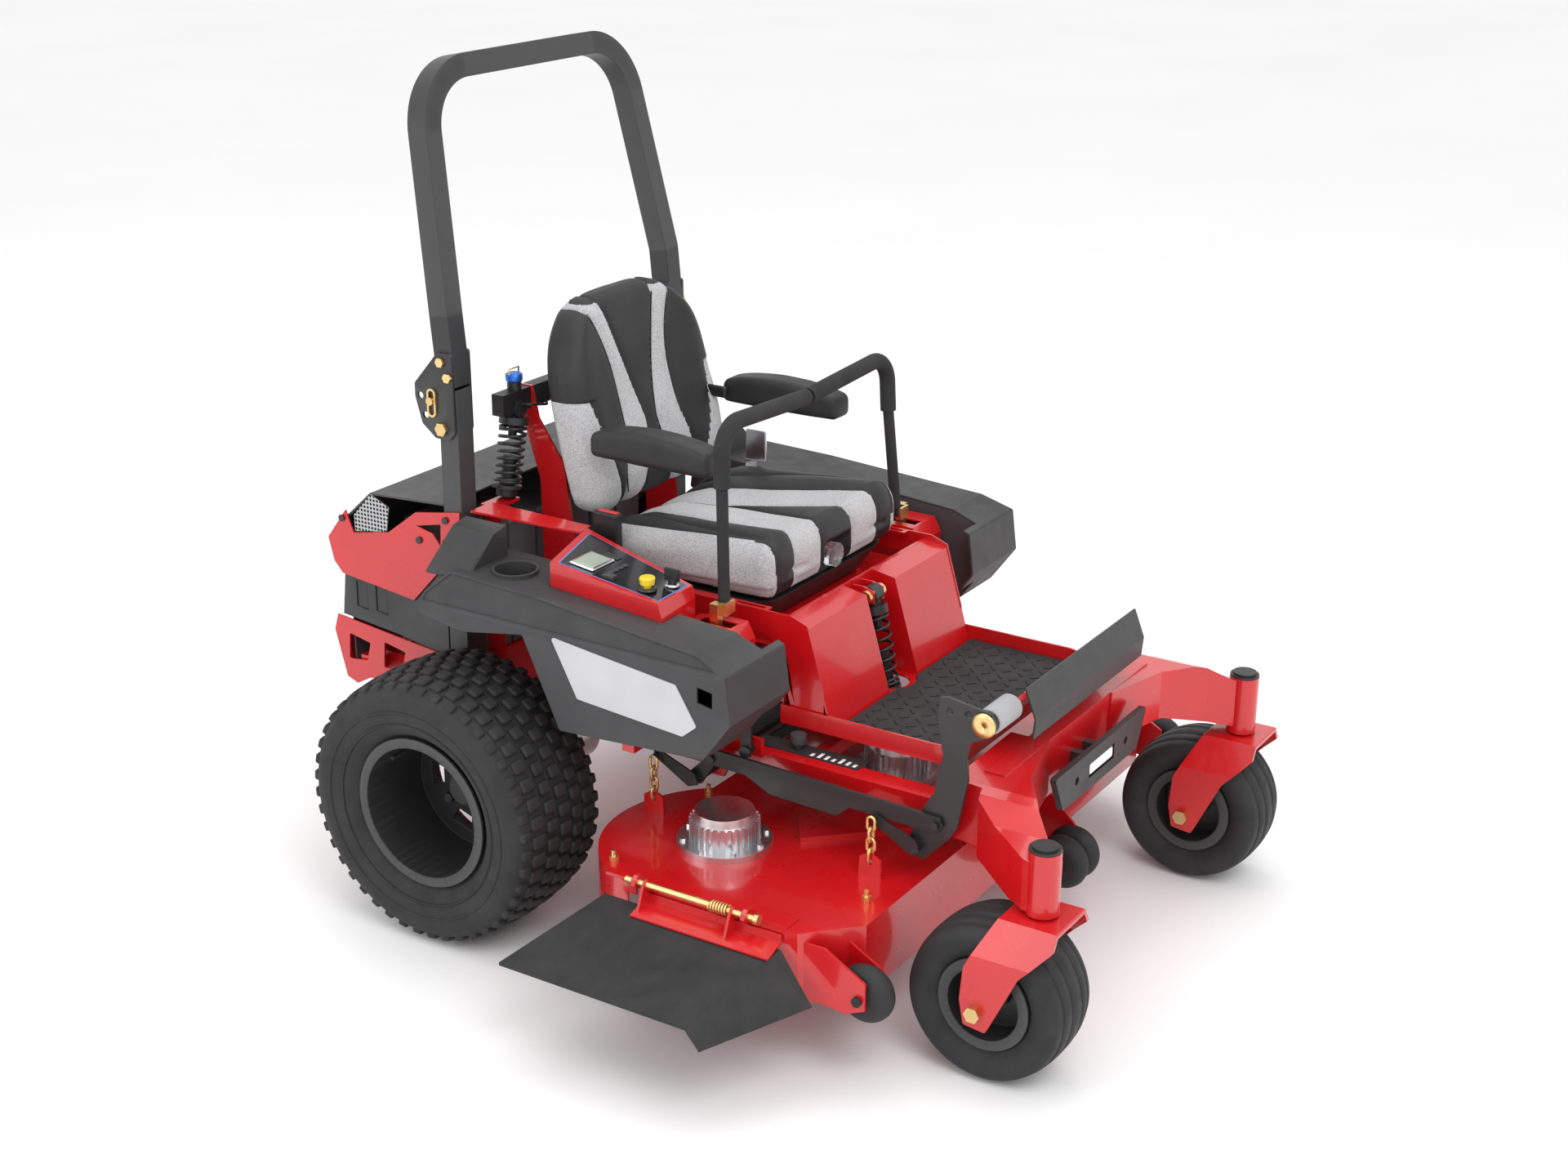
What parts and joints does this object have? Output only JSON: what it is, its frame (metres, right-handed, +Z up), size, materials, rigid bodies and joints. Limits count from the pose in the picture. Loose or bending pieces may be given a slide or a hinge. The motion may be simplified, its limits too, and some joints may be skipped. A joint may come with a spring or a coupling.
{
  "type": "zero turn mower",
  "caption": "Battery zero turn mower: steel frame, mid-mounted deck with side chute, caster forks, suspended seat platform, twin levers, folding roll-over hoop.",
  "frame": {"origin": "on the ground, under the middle of the whole machine's bounding box", "axes": "+Z up; -Y is the driving direction, so +Y points to the rear; -X is the operator's right"},
  "size_m": [1.7632, 1.952, 1.8259],
  "materials": {
    "red": "gloss",
    "charcoal": "satin",
    "black_steel": "satin",
    "tyre": "matte",
    "silver_panel": "satin",
    "zinc_gold": "satin",
    "aluminium": "polished",
    "upholstery": "woven",
    "clear": "gloss",
    "blade_steel": "brushed",
    "yellow": "gloss",
    "rubber": "matte",
    "battery": "satin"
  },
  "bodies": {
    "chassis": {"main_frame": "red", "bumper_panel": "black_steel", "drive_motors": "aluminium", "battery_packs": "battery", "rops_posts": "black_steel", "rear_guard": "red", "rear_hood": "charcoal", "fender_right": "charcoal", "fender_left": "charcoal", "fender_inserts": "silver_panel", "console": "red", "shock_bodies": "black_steel", "chassis_fittings": "black_steel"},
    "rear_wheel_right": {"rear_tyre_right": "tyre", "rear_rim_right": "black_steel"},
    "caster_right": {"caster_fork_right": "red"},
    "caster_wheel_right": {"caster_tyre_right": "tyre", "caster_rim_right": "black_steel"},
    "rear_wheel_left": {"rear_tyre_left": "tyre", "rear_rim_left": "black_steel"},
    "caster_left": {"caster_fork_left": "red"},
    "caster_wheel_left": {"caster_tyre_left": "tyre", "caster_rim_left": "black_steel"},
    "rollover_hoop": {"rops_hoop": "black_steel", "rops_lock_pins": "zinc_gold"},
    "platform": {"platform": "red", "floor_mat": "rubber", "footrest": "black_steel", "shock_rods": "black_steel", "front_spring": "black_steel", "rear_springs": "black_steel"},
    "seat": {"seat_pan": "black_steel", "seat_cushion": "upholstery", "seat_belt": "black_steel"},
    "backrest": {"seat_backrest": "upholstery"},
    "armrest_right": {"armrest_right": "charcoal"},
    "armrest_left": {"armrest_left": "charcoal"},
    "weight_knob": {"seat_knob": "clear"},
    "lever_pivot_right": {"lever_strut_right": "zinc_gold"},
    "control_lever_right": {"control_lever_right": "black_steel"},
    "lever_pivot_left": {"lever_strut_left": "zinc_gold"},
    "control_lever_left": {"control_lever_left": "black_steel"},
    "lift_pedal": {"lift_pedal": "black_steel"},
    "lift_link": {"lift_link": "black_steel"},
    "rear_lift_shaft": {"rear_lift_shaft": "black_steel"},
    "cutting_deck": {"deck_shell": "red", "deck_motors": "aluminium", "deck_hardware": "zinc_gold"},
    "blade_right": {"blade_right": "blade_steel"},
    "blade_centre": {"blade_centre": "blade_steel"},
    "blade_left": {"blade_left": "blade_steel"},
    "discharge_chute": {"discharge_chute": "rubber"},
    "anti_scalp_right": {"anti_scalp_right": "tyre"},
    "anti_scalp_left": {"anti_scalp_left": "tyre"},
    "anti_scalp_centre": {"anti_scalp_centre": "tyre"},
    "parking_brake": {"parking_brake": "black_steel"},
    "height_dial": {"height_dial": "charcoal"},
    "ignition_key": {"ignition_key": "black_steel"},
    "pto_knob": {"pto_knob": "yellow"},
    "rocker_switch": {"rocker_switch": "charcoal"}
  },
  "joints": [
    {"name": "rear_wheel_right_spin", "type": "hinge", "parent": "chassis", "child": "rear_wheel_right", "pos_m": [-0.49232, 0.464, 0.305], "axis": [1, 0, 0], "continuous": true},
    {"name": "caster_right_swivel", "type": "hinge", "parent": "chassis", "child": "caster_right", "pos_m": [-0.38132, -0.89, 0.362], "axis": [0, 0, 1], "continuous": true},
    {"name": "caster_wheel_right_spin", "type": "hinge", "parent": "caster_right", "child": "caster_wheel_right", "pos_m": [-0.38132, -0.806, 0.17], "axis": [1, 0, 0], "continuous": true},
    {"name": "rear_wheel_left_spin", "type": "hinge", "parent": "chassis", "child": "rear_wheel_left", "pos_m": [0.73768, 0.464, 0.305], "axis": [1, 0, 0], "continuous": true},
    {"name": "caster_left_swivel", "type": "hinge", "parent": "chassis", "child": "caster_left", "pos_m": [0.62668, -0.89, 0.362], "axis": [0, 0, 1], "continuous": true},
    {"name": "caster_wheel_left_spin", "type": "hinge", "parent": "caster_left", "child": "caster_wheel_left", "pos_m": [0.62668, -0.806, 0.17], "axis": [1, 0, 0], "continuous": true},
    {"name": "hoop_fold", "type": "hinge", "parent": "chassis", "child": "rollover_hoop", "pos_m": [0.12268, 0.607, 1.06], "axis": [-1, 0, 0], "range_deg": [0, 95]},
    {"name": "platform_suspension", "type": "slide", "parent": "chassis", "child": "platform", "axis": [0, 0, 1], "range_m": [-0.04, 0], "stiffness_N_per_m": 16000, "springref_m": 0.09, "deforming": ["front_spring", "rear_springs"]},
    {"name": "seat_adjust", "type": "slide", "parent": "platform", "child": "seat", "axis": [0, -1, 0], "range_m": [0, 0.06]},
    {"name": "backrest_tilt", "type": "hinge", "parent": "seat", "child": "backrest", "pos_m": [0.12268, 0.389, 0.85], "axis": [-1, 0, 0], "range_deg": [-10, 8]},
    {"name": "armrest_right_lift", "type": "hinge", "parent": "backrest", "child": "armrest_right", "pos_m": [-0.12732, 0.314, 1.037], "axis": [-1, 0, 0], "range_deg": [0, 85]},
    {"name": "armrest_left_lift", "type": "hinge", "parent": "backrest", "child": "armrest_left", "pos_m": [0.37268, 0.314, 1.037], "axis": [-1, 0, 0], "range_deg": [0, 85]},
    {"name": "weight_knob_turn", "type": "hinge", "parent": "seat", "child": "weight_knob", "pos_m": [0.12268, -0.096, 0.786], "axis": [0, -1, 0], "continuous": true},
    {"name": "drive_lever_right", "type": "hinge", "parent": "chassis", "child": "lever_pivot_right", "pos_m": [-0.26532, -0.067, 0.65], "axis": [1, 0, 0], "range_deg": [-9, 16]},
    {"name": "lever_right_swing_out", "type": "hinge", "parent": "lever_pivot_right", "child": "control_lever_right", "pos_m": [-0.23732, -0.067, 0.772], "axis": [0, -1, 0], "range_deg": [0, 15]},
    {"name": "drive_lever_left", "type": "hinge", "parent": "chassis", "child": "lever_pivot_left", "pos_m": [0.51068, -0.067, 0.65], "axis": [1, 0, 0], "range_deg": [-9, 16]},
    {"name": "lever_left_swing_out", "type": "hinge", "parent": "lever_pivot_left", "child": "control_lever_left", "pos_m": [0.48268, -0.067, 0.772], "axis": [0, 1, 0], "range_deg": [0, 15]},
    {"name": "deck_lift_pedal", "type": "hinge", "parent": "chassis", "child": "lift_pedal", "pos_m": [0.12268, -0.575, 0.393], "axis": [-1, 0, 0], "range_deg": [0, 50]},
    {"name": "lift_link_pivot", "type": "hinge", "parent": "lift_pedal", "child": "lift_link", "pos_m": [-0.31732, -0.623, 0.452], "axis": [-1, 0, 0], "range_deg": [-50, 0]},
    {"name": "rear_lift_turn", "type": "hinge", "parent": "chassis", "child": "rear_lift_shaft", "pos_m": [0.12268, -0.044, 0.403], "axis": [-1, 0, 0], "range_deg": [0, 50]},
    {"name": "deck_height", "type": "slide", "parent": "chassis", "child": "cutting_deck", "axis": [0, 0, 1], "range_m": [-0.0801, 0]},
    {"name": "blade_right_spin", "type": "hinge", "parent": "cutting_deck", "child": "blade_right", "pos_m": [-0.37732, -0.161, 0.175], "axis": [0, 0, 1], "continuous": true},
    {"name": "blade_centre_spin", "type": "hinge", "parent": "cutting_deck", "child": "blade_centre", "pos_m": [0.12268, -0.288, 0.175], "axis": [0, 0, 1], "continuous": true},
    {"name": "blade_left_spin", "type": "hinge", "parent": "cutting_deck", "child": "blade_left", "pos_m": [0.62268, -0.161, 0.175], "axis": [0, 0, 1], "continuous": true},
    {"name": "chute_lift", "type": "hinge", "parent": "cutting_deck", "child": "discharge_chute", "pos_m": [-0.63432, -0.251, 0.322], "axis": [0, 1, 0], "range_deg": [0, 75]},
    {"name": "anti_scalp_right_roll", "type": "hinge", "parent": "cutting_deck", "child": "anti_scalp_right", "pos_m": [-0.57732, -0.621, 0.2], "axis": [1, 0, 0], "continuous": true},
    {"name": "anti_scalp_left_roll", "type": "hinge", "parent": "cutting_deck", "child": "anti_scalp_left", "pos_m": [0.82268, -0.621, 0.2], "axis": [1, 0, 0], "continuous": true},
    {"name": "anti_scalp_centre_roll", "type": "hinge", "parent": "cutting_deck", "child": "anti_scalp_centre", "pos_m": [0.15568, -0.696, 0.196], "axis": [1, 0, 0], "continuous": true},
    {"name": "parking_brake_pull", "type": "hinge", "parent": "chassis", "child": "parking_brake", "pos_m": [-0.29732, -0.163, 0.488], "axis": [1, 0, 0], "range_deg": [0, 15]},
    {"name": "height_dial_turn", "type": "hinge", "parent": "chassis", "child": "height_dial", "pos_m": [-0.21132, -0.236, 0.49], "axis": [0, 0, 1], "range_deg": [0, 270]},
    {"name": "key_turn", "type": "hinge", "parent": "chassis", "child": "ignition_key", "pos_m": [-0.30932, 0.012, 0.82], "axis": [0, 0, 1], "range_deg": [0, 75]},
    {"name": "pto_pull", "type": "slide", "parent": "chassis", "child": "pto_knob", "axis": [0, 0, 1], "range_m": [0, 0.012]},
    {"name": "rocker_press", "type": "slide", "parent": "chassis", "child": "rocker_switch", "axis": [0, 0, 1], "range_m": [-0.002, 0], "stiffness_N_per_m": 400, "springref_m": 0.002}
  ],
  "couplings": [
    {"joint": "deck_height", "follows": "deck_lift_pedal", "m_per_rad": -0.091673},
    {"joint": "lift_link_pivot", "follows": "deck_lift_pedal", "ratio": -1},
    {"joint": "rear_lift_turn", "follows": "deck_lift_pedal", "ratio": 1}
  ]
}
